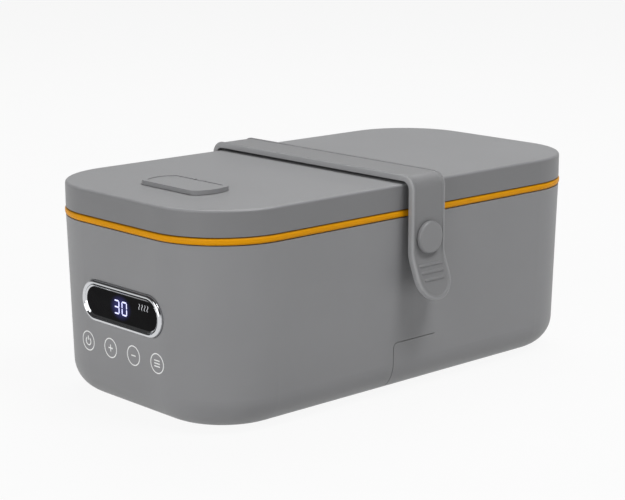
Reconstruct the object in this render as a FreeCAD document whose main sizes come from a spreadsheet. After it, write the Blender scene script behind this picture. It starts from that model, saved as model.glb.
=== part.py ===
import FreeCAD, Part
import math
import os
from collections import namedtuple
from types import SimpleNamespace

import Sketcher

# Electric lunch box. X runs along the box with the display at the -X end, the strap buttons on the
# -Y side, Z is up and the feet stand on Z = 0 below the middle of the box. Millimetres throughout.

DIMENSIONS = {
    # Outer housing
    "box_length": 240,
    "box_width": 126,
    "corner_radius": 37,
    "body_height": 81,
    "bottom_inset": 2,
    "bottom_radius": 14.5,
    "wall": 2.4,
    "rim_lip": 1.2,
    "fit_gap": 0.15,
    "seam_gap": 0.3,
    # Feet and bottom cover
    "foot_proud": 1,
    "foot_radius": 5,
    "foot_recess": 0.6,
    "foot_inset_x": 40,
    "foot_inset_y": 12,
    "cover_margin": 3.5,
    "cover_step": 3.5,
    "cover_edge": 1.2,
    "cover_thickness": 3.2,
    # Lid and its seal
    "lid_gap": 0.25,
    "gasket_band": 3.2,
    "gasket_proud": 0.4,
    "gasket_edge": 1.2,
    "gasket_bead": 5,
    "gasket_lip": 1.4,
    "lid_side": 11.35,
    "lid_wall": 2.4,
    "lid_edge_radius": 1.2,
    "inner_plate": 2,
    "plug_depth": 6,
    "plug_gap": 0.8,
    "plug_radius": 3,
    # Tub, water pan and bowls
    "panel_gap": 17,
    "rear_gap": 11,
    "side_gap": 12,
    "tub_corner_cut": 10,
    "tub_wall": 2,
    "tub_flange": 2,
    "ledge_depth": 10,
    "ledge_width": 4,
    "floor_height": 30,
    "well_radius": 5,
    "heater_end_margin": 27,
    "heater_side_margin": 17,
    "heater_opening_radius": 12,
    "pan_gap": 0.4,
    "pan_height": 10,
    "pan_steel": 1,
    "seal_thickness": 1,
    "seal_width": 5,
    "seal_margin": 6,
    "bowl_gap": 0.6,
    "bowl_rim": 5,
    "bowl_steel": 0.8,
    "bowl_draft": 3,
    "bowl_clearance": 8,
    "bowl_radius": 9,
    "bowl_split": 35,
    # Screws and posts
    "post_inset_x": 26,
    "post_inset_y": 16,
    "post_radius": 4,
    "screw_radius": 1.5,
    "screw_length": 12,
    "screw_head_radius": 3,
    "screw_head": 1.8,
    "screw_gap": 0.05,
    # Heater and its sensors
    "heater_offset": 8,
    "heater_end_gap": 10,
    "heater_side_gap": 5,
    "heater_plate_thickness": 4,
    "heater_corner": 8,
    "element_end_margin": 9,
    "element_side_margin": 5,
    "element_bar": 6,
    "element_drop": 4,
    "thermostat_radius": 8,
    "thermostat_height": 8,
    "thermostat_cap_radius": 5,
    "thermostat_cap": 3,
    "fuse_radius": 2,
    "fuse_length": 14,
    "fuse_offset": 30,
    # Power board
    "board_thickness": 1.6,
    "board_gap": 8,
    "board_length": 50,
    "board_width": 54,
    "board_lift": 4,
    "standoff_radius": 3,
    "standoff_inset": 4,
    "transformer_length": 18,
    "transformer_width": 20,
    "transformer_height": 13,
    "relay_length": 19,
    "relay_width": 15,
    "relay_height": 12,
    "capacitor_radius": 5,
    "capacitor_height": 12,
    # Display panel
    "display_height": 47.3,
    "display_y": -1.55,
    "bezel_length": 56,
    "bezel_height": 18.6,
    "bezel_band": 2,
    "bezel_proud": 0.9,
    "bezel_depth": 4.9,
    "bezel_edge": 1.3,
    "bezel_inner_edge": 0.6,
    "window_recess": 1,
    "window_thickness": 2,
    "panel_depth": 12,
    "panel_board_width": 62,
    "panel_board_low": 21,
    "panel_board_high": 63,
    "digit_width": 22,
    "digit_height": 12,
    "digit_depth": 7,
    "boss_radius": 2.5,
    "boss_embed": 0.6,
    "boss_high_spread": 26,
    "boss_low_spread": 16.5,
    "boss_inset": 3,
    "key_height": 27.3,
    "key_pitch": 16.5,
    "pad_radius": 3.5,
    # Strap and its buttons
    "strap_width": 21,
    "strap_thickness": 2.9,
    "strap_rim": 1.4,
    "strap_sink": 0.4,
    "strap_edge": 0.9,
    "strap_top_gap": 1.1,
    "strap_side_gap": 3,
    "strap_bend": 3.5,
    "knob_drop": 9.3,
    "knob_base_radius": 6,
    "knob_neck_radius": 4.2,
    "knob_head_radius": 7.4,
    "knob_head": 1.8,
    "knob_edge": 1,
    "knob_seat": 0.16,
    "spigot_radius": 3,
    "spigot_length": 2,
    "button_gap": 0.3,
    "button_lift": 0.45,
    "knob_screw_radius": 1.4,
    "knob_screw_length": 6,
    "knob_screw_head_radius": 4.6,
    "knob_screw_head": 1.4,
    "flare_below_knob": 5.4,
    "flare_drop": 22.3,
    "flare_bend": 4.4,
    "flare_radius": 12,
    "grip_radius": 0.6,
    "grip_below_flare": 6.85,
    "grip_pitch": 3.05,
    "grip_width": 15.4,
    "grip_step": 1.1,
    # Steam vent
    "vent_inset": 35,
    "vent_y": -2.85,
    "vent_width": 20.7,
    "vent_straight": 36,
    "vent_bulge": 3.5,
    "vent_corner": 4,
    "vent_thickness": 1.9,
    "vent_gap": 0.15,
    "vent_dish": 0.35,
    "vent_rim": 2,
    "vent_lug": 6,
    "vent_lug_gap": 0.4,
    "vent_pin_radius": 0.45,
    "vent_pin_length": 18,
    "pin_gap": 0.05,
    "vent_seal_length": 22,
    "vent_seal_width": 8,
    "vent_seal_depth": 1,
    "vent_recess_gap": 0.5,
    "vent_hole_radius": 1.6,
    "vent_hole_pitch": 6,
    "chimney_wall": 2,
    # Power inlet and its flap
    "flap_hinge_x": 12.5,
    "flap_width": 26.5,
    "flap_height": 23.6,
    "flap_corner": 2,
    "hinge_film": 0.5,
    "hinge_groove": 1.2,
    "recess_wall": 1.8,
    "recess_gap": 0.6,
    "recess_low": 8,
    "recess_floor_gap": 7,
    "recess_depth": 15,
    "inlet_height": 15.5,
    "inlet_width": 20,
    "inlet_tall": 11,
    "inlet_wall": 1.8,
    "inlet_front": 4,
    "inlet_body": 12,
    "inlet_flange": 2,
    "inlet_flange_lip": 2,
    "inlet_pin_radius": 1.2,
    "inlet_pin_pitch": 8.6,
    "inlet_pin_length": 9,
    # Wiring
    "lead_radius": 1.2,
    "lead_bend": 5,
    "lead_landing": 5,
    "lead_shift": 2,
    "ribbon_width": 12,
    "ribbon_thickness": 1,
    "ribbon_bend": 4,
    "ribbon_landing": 3,
}

doc = FreeCAD.newDocument("lunch_box")


class Size:
    """A number together with the sheet formula that it comes from."""

    def __init__(self, value, formula):
        self.value = value
        self.formula = formula

    def __add__(self, other):
        other = size(other)
        return Size(self.value + other.value, f"({self.formula} + {other.formula})")

    def __sub__(self, other):
        other = size(other)
        return Size(self.value - other.value, f"({self.formula} - {other.formula})")

    def __mul__(self, other):
        other = size(other)
        return Size(self.value * other.value, f"({self.formula} * {other.formula})")

    def __truediv__(self, other):
        other = size(other)
        return Size(self.value / other.value, f"({self.formula} / {other.formula})")

    def __neg__(self):
        return Size(-self.value, f"(0 - {self.formula})")

    def __radd__(self, other):
        return size(other) + self

    def __rsub__(self, other):
        return size(other) - self

    def __rmul__(self, other):
        return size(other) * self


def size(value):
    if isinstance(value, Size):
        return value
    return Size(float(value), f"{float(value):.6f}")


def root(value):
    return Size(math.sqrt(value.value), f"sqrt({value.formula})")


def fill_sheet():
    """Write every driving dimension to the sheet and return them as named sizes."""
    sheet = doc.addObject("Spreadsheet::Sheet", "sheet")
    sizes = SimpleNamespace()
    for row, (name, value) in enumerate(DIMENSIONS.items(), start=1):
        sheet.set(f"A{row}", name)
        sheet.set(f"B{row}", str(value))
        sheet.setAlias(f"B{row}", name)
        setattr(sizes, name, Size(float(value), f"sheet.{name}"))
    doc.recompute()
    return sizes


# Sketches and solids

Outline = namedtuple("Outline", "x y length width radius")


def inset(outline, amount):
    """The same rounded rectangle drawn in by an amount on every side, or out where it is negative."""
    return Outline(
        outline.x,
        outline.y,
        outline.length - 2 * amount,
        outline.width - 2 * amount,
        outline.radius - amount,
    )


def bind(thing, **sizes):
    for name, value in sizes.items():
        thing.setExpression(name, size(value).formula)


def place(thing, x=0, y=0, z=0, rotation=None):
    if rotation is not None:
        thing.Placement = FreeCAD.Placement(FreeCAD.Vector(), rotation)
    for axis, value in zip("xyz", (x, y, z)):
        thing.setExpression(f"Placement.Base.{axis}", size(value).formula)
    return thing


def new_sketch(body, name, plane, offset):
    """A sketch on one of the body's own planes, moved along that plane's normal: Z, X or -Y."""
    sketch = body.newObject("Sketcher::SketchObject", name)
    support = next(feature for feature in body.Origin.OriginFeatures if feature.Role == plane)
    sketch.AttachmentSupport = [(support, "")]
    sketch.MapMode = "FlatFace"
    sketch.setExpression("AttachmentOffset.Base.z", size(offset).formula)
    return sketch


def dimension(sketch, kind, references, value):
    index = sketch.addConstraint(Sketcher.Constraint(kind, *references, value.value))
    sketch.setExpression(f"Constraints[{index}]", value.formula)


def locate(sketch, element, point, x=None, y=None):
    """Tie a point of an element to the sketch's origin."""
    for kind, axis, value in (("DistanceX", -2, x), ("DistanceY", -1, y)):
        if value is None:
            continue
        value = size(value)
        if abs(value.value) < 1e-9:
            sketch.addConstraint(Sketcher.Constraint("PointOnObject", element, point, axis))
        elif value.value > 0:
            dimension(sketch, kind, (-1, 1, element, point), value)
        else:
            dimension(sketch, kind, (element, point, -1, 1), -value)


def vector(x, y):
    return FreeCAD.Vector(size(x).value, size(y).value, 0)


def arc_of(centre, first, last):
    """The arc that turns counter-clockwise from one point to another."""
    start = math.atan2(first.y - centre.y, first.x - centre.x)
    end = math.atan2(last.y - centre.y, last.x - centre.x)
    if end < start:
        end += 2 * math.pi
    circle = Part.Circle(centre, FreeCAD.Vector(0, 0, 1), (first - centre).Length)
    return Part.ArcOfCircle(circle, start, end)


def draw_rounded(sketch, outline):
    half_length = outline.length / 2
    half_width = outline.width / 2
    left, right = outline.x - half_length, outline.x + half_length
    low, high = outline.y - half_width, outline.y + half_width
    r = outline.radius
    ends = [
        (left + r, low, right - r, low),
        (right, low + r, right, high - r),
        (right - r, high, left + r, high),
        (left, high - r, left, low + r),
    ]
    centres = [(right - r, low + r), (right - r, high - r), (left + r, high - r), (left + r, low + r)]
    chain = []
    for index, (x0, y0, x1, y1) in enumerate(ends):
        following = ends[(index + 1) % 4]
        chain.append(sketch.addGeometry(Part.LineSegment(vector(x0, y0), vector(x1, y1)), False))
        corner = arc_of(vector(*centres[index]), vector(x1, y1), vector(*following[:2]))
        chain.append(sketch.addGeometry(corner, False))
    for element, following in zip(chain, chain[1:] + chain[:1]):
        sketch.addConstraint(Sketcher.Constraint("Tangent", element, 2, following, 1))
    for element, direction in zip(chain[::2], ("Horizontal", "Vertical") * 2):
        sketch.addConstraint(Sketcher.Constraint(direction, element))
    for element in chain[3::2]:
        sketch.addConstraint(Sketcher.Constraint("Equal", chain[1], element))
    dimension(sketch, "Radius", (chain[1],), r)
    locate(sketch, chain[0], 1, y=low)
    locate(sketch, chain[2], 1, x=right)
    locate(sketch, chain[4], 1, y=high)
    locate(sketch, chain[6], 1, x=left)


def draw_path(sketch, start, steps):
    """A closed outline. A step is the corner it ends at, and an arc adds its centre and its turn."""
    here = start
    chain = []
    for step in steps:
        first, last = vector(*here), vector(*step[:2])
        if len(step) == 2:
            element = sketch.addGeometry(Part.LineSegment(first, last), False)
            chain.append((element, 1, 2))
        else:
            centre = vector(*step[2:4])
            if step[4] == "left":
                chain.append((sketch.addGeometry(arc_of(centre, first, last), False), 1, 2))
            else:
                chain.append((sketch.addGeometry(arc_of(centre, last, first), False), 2, 1))
            element = chain[-1][0]
            if abs(first.x - last.x) < 1e-9:
                locate(sketch, element, 3, x=step[2])
            else:
                locate(sketch, element, 3, y=step[3])
        here = step[:2]
    for (element, _, end), (following, begin, _) in zip(chain, chain[1:] + chain[:1]):
        sketch.addConstraint(Sketcher.Constraint("Coincident", element, end, following, begin))
    corners = [start] + [step[:2] for step in steps[:-1]]
    for (element, begin, _), corner in zip(chain, corners):
        locate(sketch, element, begin, *corner)


def draw_pill(sketch, x, y, length, width):
    """A slot shape with round ends, longer along the sketch's own X."""
    r = width / 2
    left = x - length / 2 + r
    right = x + length / 2 - r
    steps = [
        (right, y - r),
        (right, y + r, right, y, "left"),
        (left, y + r),
        (left, y - r, left, y, "left"),
    ]
    draw_path(sketch, (left, y - r), steps)


def prism(name, plane, offset, depth, draw, *arguments):
    """A pad of one sketch, along the plane's normal."""
    body = doc.addObject("PartDesign::Body", name)
    sketch = new_sketch(body, f"{name}_sketch", plane, offset)
    draw(sketch, *arguments)
    pad = body.newObject("PartDesign::Pad", f"{name}_pad")
    pad.Profile = sketch
    bind(pad, Length=depth)
    return body


def turned(name, start, steps):
    """A profile of (distance along Y, radius) turned about the body's Y axis."""
    body = doc.addObject("PartDesign::Body", name)
    sketch = new_sketch(body, f"{name}_sketch", "YZ_Plane", 0)
    draw_path(sketch, start, steps)
    turn = body.newObject("PartDesign::Revolution", f"{name}_turn")
    turn.Profile = sketch
    turn.ReferenceAxis = (sketch, ["H_Axis"])
    turn.Angle = 360
    return body


def level(*heights):
    """Picks the edges that lie flat at one of these heights."""
    def chosen(edge):
        box = edge.BoundBox
        return any(abs(box.ZMin - z.value) < 0.01 and abs(box.ZMax - z.value) < 0.01 for z in heights)
    return chosen


def upright(edge):
    return edge.BoundBox.ZLength > 0.1 and edge.BoundBox.XLength < 0.01 and edge.BoundBox.YLength < 0.01


def round_edges(body, radius, chosen):
    doc.recompute()
    base = body.Tip
    names = [f"Edge{n}" for n, edge in enumerate(base.Shape.Edges, start=1) if chosen(edge)]
    rounding = body.newObject("PartDesign::Fillet", f"{body.Name}_round")
    rounding.Base = (base, names)
    bind(rounding, Radius=radius)
    return body


def slope_edges(body, width, chosen):
    doc.recompute()
    base = body.Tip
    names = [f"Edge{n}" for n, edge in enumerate(base.Shape.Edges, start=1) if chosen(edge)]
    slope = body.newObject("PartDesign::Chamfer", f"{body.Name}_slope")
    slope.Base = (base, names)
    bind(slope, Size=width)
    return body


def slab(name, outline, bottom, thickness):
    return prism(name, "XY_Plane", bottom, thickness, draw_rounded, outline)


def basin(name, low, bottom, high, top, radius):
    """A solid that widens from one rounded outline up to another, with its bottom edge rounded."""
    body = doc.addObject("PartDesign::Body", name)
    lower = new_sketch(body, f"{name}_low", "XY_Plane", bottom)
    draw_rounded(lower, low)
    upper = new_sketch(body, f"{name}_high", "XY_Plane", top)
    draw_rounded(upper, high)
    loft = body.newObject("PartDesign::AdditiveLoft", f"{name}_loft")
    loft.Profile = upper
    loft.Sections = [lower]
    loft.Ruled = True
    return round_edges(body, radius, level(size(bottom)))


ALONG = {
    "x": FreeCAD.Rotation(FreeCAD.Vector(0, 1, 0), 90),
    "y": FreeCAD.Rotation(FreeCAD.Vector(1, 0, 0), -90),
    "z": FreeCAD.Rotation(),
}


def rod(name, radius, length, axis="z", x=0, y=0, z=0):
    cylinder = doc.addObject("Part::Cylinder", name)
    bind(cylinder, Radius=radius, Height=length)
    return place(cylinder, x, y, z, ALONG[axis])


def block(name, length, width, height, x=0, y=0, z=0):
    """A box centred over x and y, standing on z."""
    box = doc.addObject("Part::Box", name)
    bind(box, Length=length, Width=width, Height=height)
    return place(box, x - size(length) / 2, y - size(width) / 2, z)


def fuse(name, *shapes):
    joined = doc.addObject("Part::MultiFuse", name)
    joined.Shapes = list(shapes)
    return joined


def cut(name, base, *tools):
    result = doc.addObject("Part::Cut", name)
    result.Base = base
    result.Tool = tools[0] if len(tools) == 1 else fuse(f"{name}_tools", *tools)
    return result


def shared(name, *shapes):
    common = doc.addObject("Part::MultiCommon", name)
    common.Shapes = list(shapes)
    return common


def group(name, shapes):
    """Several separate solids kept as one sub-part."""
    compound = doc.addObject("Part::Compound", name)
    compound.Links = list(shapes)
    return compound


# Levels and outlines that several pieces share

d = fill_sheet()

half_length = d.box_length / 2
half_width = d.box_width / 2

z_base = d.foot_proud
z_rim = z_base + d.body_height
z_seal = z_rim + d.lid_gap
z_lid = z_seal + d.gasket_band + d.lid_gap
z_top = z_lid + d.lid_side
z_ledge = z_rim - d.ledge_depth
z_floor = z_base + d.floor_height
z_pan = z_floor + d.seal_thickness
z_cover = z_base + d.cover_thickness
z_knob = z_rim - d.knob_drop
z_display = z_base + d.display_height

rim_outline = Outline(size(0), size(0), d.box_length, d.box_width, d.corner_radius)
base_outline = inset(rim_outline, d.bottom_inset)
cover_outline = inset(base_outline, d.bottom_radius + d.cover_margin)

tub_front = d.panel_gap - half_length
tub_rear = half_length - d.rear_gap
tub_outline = Outline(
    (tub_front + tub_rear) / 2,
    size(0),
    tub_rear - tub_front,
    d.box_width - 2 * d.side_gap,
    d.corner_radius - d.tub_corner_cut,
)
well_outline = inset(tub_outline, d.ledge_width)
plug_outline = inset(tub_outline, d.plug_gap)

# Where the -Y wall stands at the buttons' height, between its foot and its rim
knob_wall = half_width - d.bottom_inset * d.knob_drop / d.body_height

post_x = tub_outline.length / 2 - d.post_inset_x
post_y = tub_outline.width / 2 - d.post_inset_y
post_spots = [(tub_outline.x + end * post_x, side * post_y) for end in (-1, 1) for side in (-1, 1)]

strap_back = half_width + d.strap_side_gap
strap_bend_y = strap_back - d.strap_bend
strap_bend_z = z_top + d.strap_top_gap - d.strap_bend
strap_outer = d.strap_bend + d.strap_thickness

# The buttoned end turns out below its button: the turn's centre, its sine and cosine, and how far the
# straight run past it leans out
flare_z = z_knob - d.flare_below_knob
tip_z = flare_z - d.flare_drop
flare_y = -strap_bend_y - strap_outer - d.flare_radius
flare_down = d.flare_bend / d.flare_radius
flare_across = root(d.flare_radius * d.flare_radius - d.flare_bend * d.flare_bend) / d.flare_radius
flare_slope = flare_down / flare_across
flare_out = d.flare_drop * flare_slope

board_x = d.board_gap + d.board_length / 2 + tub_front
z_board = z_cover + d.board_lift
panel_x = d.panel_depth - half_length

flap_top = z_base + d.flap_height
flap_left = d.flap_hinge_x - d.flap_width
hinge_y = -base_outline.width / 2 - d.bottom_inset * d.flap_height / d.body_height
inlet_left = flap_left - d.seam_gap - d.recess_gap
inlet_right = d.flap_hinge_x + d.wall
inlet_x = (inlet_left + inlet_right) / 2
inlet_back = d.recess_depth + d.wall - base_outline.width / 2
z_inlet = z_base + d.inlet_height

vent_x = d.vent_inset - half_length
vent_axis_x = vent_x + d.vent_width / 2 - d.vent_thickness / 2
z_vent = z_top + d.vent_gap
z_vent_axis = z_vent + d.vent_thickness / 2


# Housing, flap and power inlet

def flap_area(name, grow):
    """The patch of wall that the flap fills, or its opening where it is grown by the seam."""
    left = flap_left - grow
    right = d.flap_hinge_x
    top = flap_top + grow
    low = z_base - d.foot_proud
    corner = d.flap_corner + grow
    steps = [
        (right, low),
        (right, top),
        (left + corner, top),
        (left, top - corner, left + corner, top - corner, "left"),
        (left, low),
    ]
    back = base_outline.width / 2 - d.bottom_radius - grow
    depth = d.bottom_radius + d.bottom_inset + d.wall
    sheet = prism(f"{name}_sheet", "XZ_Plane", back, depth, draw_path, (left, low), steps)
    swing = rod(
        f"{name}_swing",
        d.flap_width + grow,
        d.flap_height + d.wall * 2,
        x=d.flap_hinge_x,
        y=hinge_y,
    )
    return shared(name, sheet, swing)


def housing_and_flap():
    outside = basin("housing_outside", base_outline, z_base, rim_outline, z_rim, d.bottom_radius)
    inside = basin(
        "housing_inside",
        inset(base_outline, d.wall),
        z_base + d.wall,
        inset(rim_outline, d.wall),
        z_rim,
        d.bottom_radius - d.wall,
    )
    shell = cut("housing_shell", outside, inside)

    # The flap bends at a thin film in the wall's outer skin, with a groove behind it
    groove = rod(
        "hinge_groove",
        d.hinge_groove,
        d.flap_height + d.seam_gap - d.bottom_radius,
        x=d.flap_hinge_x,
        y=hinge_y + d.hinge_film + d.hinge_groove,
        z=z_base + d.bottom_radius,
    )
    leaf = shared("flap_leaf", shell, flap_area("flap_patch", size(0)))
    flap = cut("inlet_flap", leaf, groove)

    panel_bosses = []
    boss_start = d.bottom_inset + d.boss_embed - half_length
    for name, spread, height in (
        ("boss_high", d.boss_high_spread, d.panel_board_high - d.boss_inset),
        ("boss_low", d.boss_low_spread, d.panel_board_low + d.boss_inset),
    ):
        for side in (-1, 1):
            panel_bosses.append(
                rod(
                    f"{name}_{'left' if side > 0 else 'right'}",
                    d.boss_radius,
                    panel_x - boss_start,
                    "x",
                    boss_start,
                    side * spread,
                    z_base + height,
                )
            )
    solid = fuse("housing_solid", shell, *panel_bosses)

    window_opening = prism(
        "window_opening",
        "YZ_Plane",
        -half_length - d.wall,
        d.bezel_depth + 2 * d.wall,
        draw_pill,
        d.display_y,
        z_display,
        d.bezel_length + 2 * d.fit_gap,
        d.bezel_height + 2 * d.fit_gap,
    )
    rim_rebate = slab(
        "rim_rebate",
        inset(rim_outline, d.rim_lip),
        z_rim - d.tub_flange,
        d.tub_flange + d.wall,
    )
    cover_rebate = slab("cover_rebate", cover_outline, z_base - d.foot_proud, d.foot_proud + d.cover_edge)
    cover_opening = slab(
        "cover_opening",
        inset(cover_outline, d.cover_step),
        z_base - d.foot_proud,
        d.foot_proud + 2 * d.wall,
    )
    knob_holes = rod(
        "knob_holes", d.spigot_radius + d.fit_gap, d.box_width, "y", y=-half_width, z=z_knob
    )
    housing = cut(
        "outer_housing",
        solid,
        window_opening,
        rim_rebate,
        cover_rebate,
        cover_opening,
        knob_holes,
        flap_area("flap_opening", d.seam_gap),
        groove,
    )
    return [housing, flap], inside


def inlet(inside):
    """The lined recess behind the flap and the two-pin socket at its back."""
    low = z_base + d.recess_low
    top = flap_top + d.seam_gap + d.recess_gap
    wide = inlet_right - inlet_left
    mouth = half_width + d.wall
    tube = prism(
        "recess_tube",
        "XZ_Plane",
        -inlet_back - d.recess_wall,
        mouth + inlet_back + d.recess_wall,
        draw_rounded,
        Outline(
            inlet_x,
            (low + top) / 2,
            wide + 2 * d.recess_wall,
            top - low + 2 * d.recess_wall,
            d.flap_corner + d.recess_wall,
        ),
    )
    hollow = prism(
        "recess_hollow",
        "XZ_Plane",
        -inlet_back,
        mouth + inlet_back,
        draw_rounded,
        Outline(inlet_x, (low + top) / 2, wide, top - low, d.flap_corner),
    )
    swing_room = d.recess_floor_gap + d.bottom_inset + d.wall
    floor_cut = block(
        "recess_floor_cut",
        wide,
        2 * swing_room,
        d.recess_low,
        inlet_x,
        -half_width,
        z_base + d.recess_low / 2,
    )
    socket_hole = prism(
        "recess_socket_hole",
        "XZ_Plane",
        -inlet_back - 2 * d.recess_wall,
        4 * d.recess_wall,
        draw_pill,
        inlet_x,
        z_inlet,
        d.inlet_width + 2 * d.fit_gap,
        d.inlet_tall + 2 * d.fit_gap,
    )
    recess = cut(
        "inlet_recess",
        shared("recess_blank", tube, inside),
        hollow,
        floor_cut,
        socket_hole,
    )

    front = -inlet_back + d.inlet_front
    body = prism(
        "socket_body",
        "XZ_Plane",
        front - d.inlet_body - d.inlet_front,
        d.inlet_body + d.inlet_front,
        draw_pill,
        inlet_x,
        z_inlet,
        d.inlet_width,
        d.inlet_tall,
    )
    flange = prism(
        "socket_flange",
        "XZ_Plane",
        -inlet_back - d.recess_wall - d.inlet_flange,
        d.inlet_flange,
        draw_pill,
        inlet_x,
        z_inlet,
        d.inlet_width + 2 * d.inlet_flange_lip,
        d.inlet_tall + 2 * d.inlet_flange_lip,
    )
    mouth_depth = d.inlet_body
    mouth_hole = prism(
        "socket_mouth",
        "XZ_Plane",
        front - mouth_depth,
        mouth_depth + d.wall,
        draw_pill,
        inlet_x,
        z_inlet,
        d.inlet_width - 2 * d.inlet_wall,
        d.inlet_tall - 2 * d.inlet_wall,
    )
    socket = cut("inlet_socket", fuse("socket_solid", body, flange), mouth_hole)
    pins = group(
        "inlet_pins",
        [
            rod(
                f"inlet_pin_{name}",
                d.inlet_pin_radius,
                d.inlet_pin_length,
                "y",
                inlet_x + side * d.inlet_pin_pitch / 2,
                mouth_depth - front - d.inlet_pin_length,
                z_inlet,
            )
            for name, side in (("left", -1), ("right", 1))
        ],
    )
    return [recess, socket, pins]


# Bottom cover, feet and screws

def bottom_pieces():
    edge = slab("cover_plate", inset(cover_outline, d.fit_gap), z_base, d.cover_edge)
    spigot = slab(
        "cover_spigot",
        inset(cover_outline, d.cover_step + d.fit_gap),
        z_base,
        d.cover_thickness,
    )
    standoffs = []
    for side in (-1, 1):
        for end in (-1, 1):
            standoffs.append(
                rod(
                    f"standoff_{'near' if end < 0 else 'far'}_{'left' if side < 0 else 'right'}",
                    d.standoff_radius,
                    z_board - z_base,
                    x=board_x + end * (d.board_length / 2 - d.standoff_inset),
                    y=side * (d.board_width / 2 - d.standoff_inset),
                    z=z_base,
                )
            )
    foot_x = cover_outline.length / 2 - d.foot_inset_x
    foot_y = cover_outline.width / 2 - d.foot_inset_y
    foot_spots = [
        (end * foot_x, side * foot_y)
        for end in (-1, 1)
        for side in (-1, 1)
    ]
    feet = []
    cutters = []
    for index, (x, y) in enumerate(foot_spots):
        feet.append(rod(f"foot_{index}", d.foot_radius, z_base + d.foot_recess, x=x, y=y))
        cutters.append(
            rod(f"foot_recess_{index}", d.foot_radius + d.fit_gap, d.foot_recess, x=x, y=y, z=z_base)
        )
    screws = []
    for index, (x, y) in enumerate(post_spots):
        shank = rod(f"cover_screw_shank_{index}", d.screw_radius, d.screw_length, x=x, y=y, z=z_base)
        head = rod(f"cover_screw_head_{index}", d.screw_head_radius, d.screw_head, x=x, y=y, z=z_base)
        screws.append(fuse(f"cover_screw_{index}", shank, head))
        cutters.append(
            rod(
                f"cover_screw_hole_{index}",
                d.screw_radius + d.screw_gap,
                d.cover_thickness,
                x=x,
                y=y,
                z=z_base,
            )
        )
        cutters.append(
            rod(
                f"cover_head_seat_{index}",
                d.screw_head_radius + d.fit_gap,
                d.screw_head,
                x=x,
                y=y,
                z=z_base,
            )
        )
    cover = cut("bottom_cover", fuse("cover_solid", edge, spigot, *standoffs), *cutters)
    return [cover, group("rubber_feet", feet), group("cover_screws", screws)]


# Tub, pan, heater and bowls

def liner():
    flange = slab(
        "liner_flange",
        inset(rim_outline, d.rim_lip + d.fit_gap),
        z_rim - d.tub_flange,
        d.tub_flange,
    )
    upper = slab(
        "liner_upper",
        inset(tub_outline, -d.tub_wall),
        z_ledge - d.tub_wall,
        d.ledge_depth + d.tub_wall,
    )
    lower = basin(
        "liner_lower",
        inset(well_outline, -d.tub_wall),
        z_floor - d.tub_wall,
        inset(well_outline, -d.tub_wall),
        z_ledge,
        d.well_radius + d.tub_wall,
    )
    posts = []
    holes = []
    for index, (x, y) in enumerate(post_spots):
        posts.append(rod(f"liner_post_{index}", d.post_radius, z_floor - z_cover, x=x, y=y, z=z_cover))
        holes.append(
            rod(
                f"liner_post_hole_{index}",
                d.screw_radius + d.screw_gap,
                d.screw_length,
                x=x,
                y=y,
                z=z_base,
            )
        )
    tub = slab("liner_tub", tub_outline, z_ledge, d.ledge_depth + d.wall)
    well = basin("liner_well", well_outline, z_floor, well_outline, z_ledge + d.tub_wall, d.well_radius)
    opening = slab("liner_opening", heater_opening(), z_floor - 2 * d.tub_wall, 3 * d.tub_wall)
    solid = fuse("liner_solid", flange, upper, lower, *posts)
    return cut("inner_liner", solid, tub, well, opening, *holes)


def heater_opening():
    return Outline(
        tub_outline.x + d.heater_offset,
        size(0),
        well_outline.length - 2 * d.heater_end_margin,
        well_outline.width - 2 * d.heater_side_margin,
        d.heater_opening_radius,
    )


def pan_and_heater():
    pan_outline = inset(well_outline, d.pan_gap)
    outer_radius = d.well_radius + d.pan_steel
    outer = basin("pan_outer", pan_outline, z_pan, pan_outline, z_pan + d.pan_height, outer_radius)
    inner_outline = inset(pan_outline, d.pan_steel)
    z_inner = z_pan + d.pan_steel
    inner = basin("pan_inner", inner_outline, z_inner, inner_outline, z_inner + d.pan_height, d.well_radius)
    pan = cut("heating_pan", outer, inner)

    ring_outer = inset(heater_opening(), -d.seal_margin - d.seal_width)
    ring_inner = inset(heater_opening(), -d.seal_margin)
    seal = cut(
        "pan_seal",
        slab("pan_seal_outer", ring_outer, z_floor, d.seal_thickness),
        slab("pan_seal_inner", ring_inner, z_floor - d.seal_thickness, 3 * d.seal_thickness),
    )

    heater_x = tub_outline.x + d.heater_offset
    z_plate = z_pan - d.heater_plate_thickness
    z_element = z_plate - d.element_drop
    opening = heater_opening()
    plate_outline = Outline(
        heater_x,
        size(0),
        opening.length - 2 * d.heater_end_gap,
        opening.width - 2 * d.heater_side_gap,
        d.heater_corner,
    )
    element_length = plate_outline.length - 2 * d.element_end_margin
    element_width = plate_outline.width - 2 * d.element_side_margin
    element = cut(
        "heater_element",
        prism(
            "element_outer",
            "XY_Plane",
            z_element,
            d.element_drop + d.heater_plate_thickness / 2,
            draw_pill,
            heater_x,
            size(0),
            element_length,
            element_width,
        ),
        prism(
            "element_inner",
            "XY_Plane",
            z_element - d.element_drop,
            3 * d.element_drop,
            draw_pill,
            heater_x,
            size(0),
            element_length - 2 * d.element_bar,
            element_width - 2 * d.element_bar,
        ),
    )
    plate = slab("heater_slab", plate_outline, z_plate, d.heater_plate_thickness)
    heater = fuse("heater_plate", plate, element)
    thermostat = fuse(
        "thermostat",
        rod(
            "thermostat_body",
            d.thermostat_radius,
            d.thermostat_height,
            x=heater_x,
            z=z_plate - d.thermostat_height,
        ),
        rod(
            "thermostat_cap",
            d.thermostat_cap_radius,
            d.thermostat_cap,
            x=heater_x,
            z=z_plate - d.thermostat_height - d.thermostat_cap,
        ),
    )
    fuse_link = rod(
        "thermal_fuse",
        d.fuse_radius,
        d.fuse_length,
        "x",
        heater_x + d.fuse_offset - d.fuse_length / 2,
        0,
        z_plate - d.fuse_radius,
    )
    return [pan, seal, heater, thermostat, fuse_link]


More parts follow.
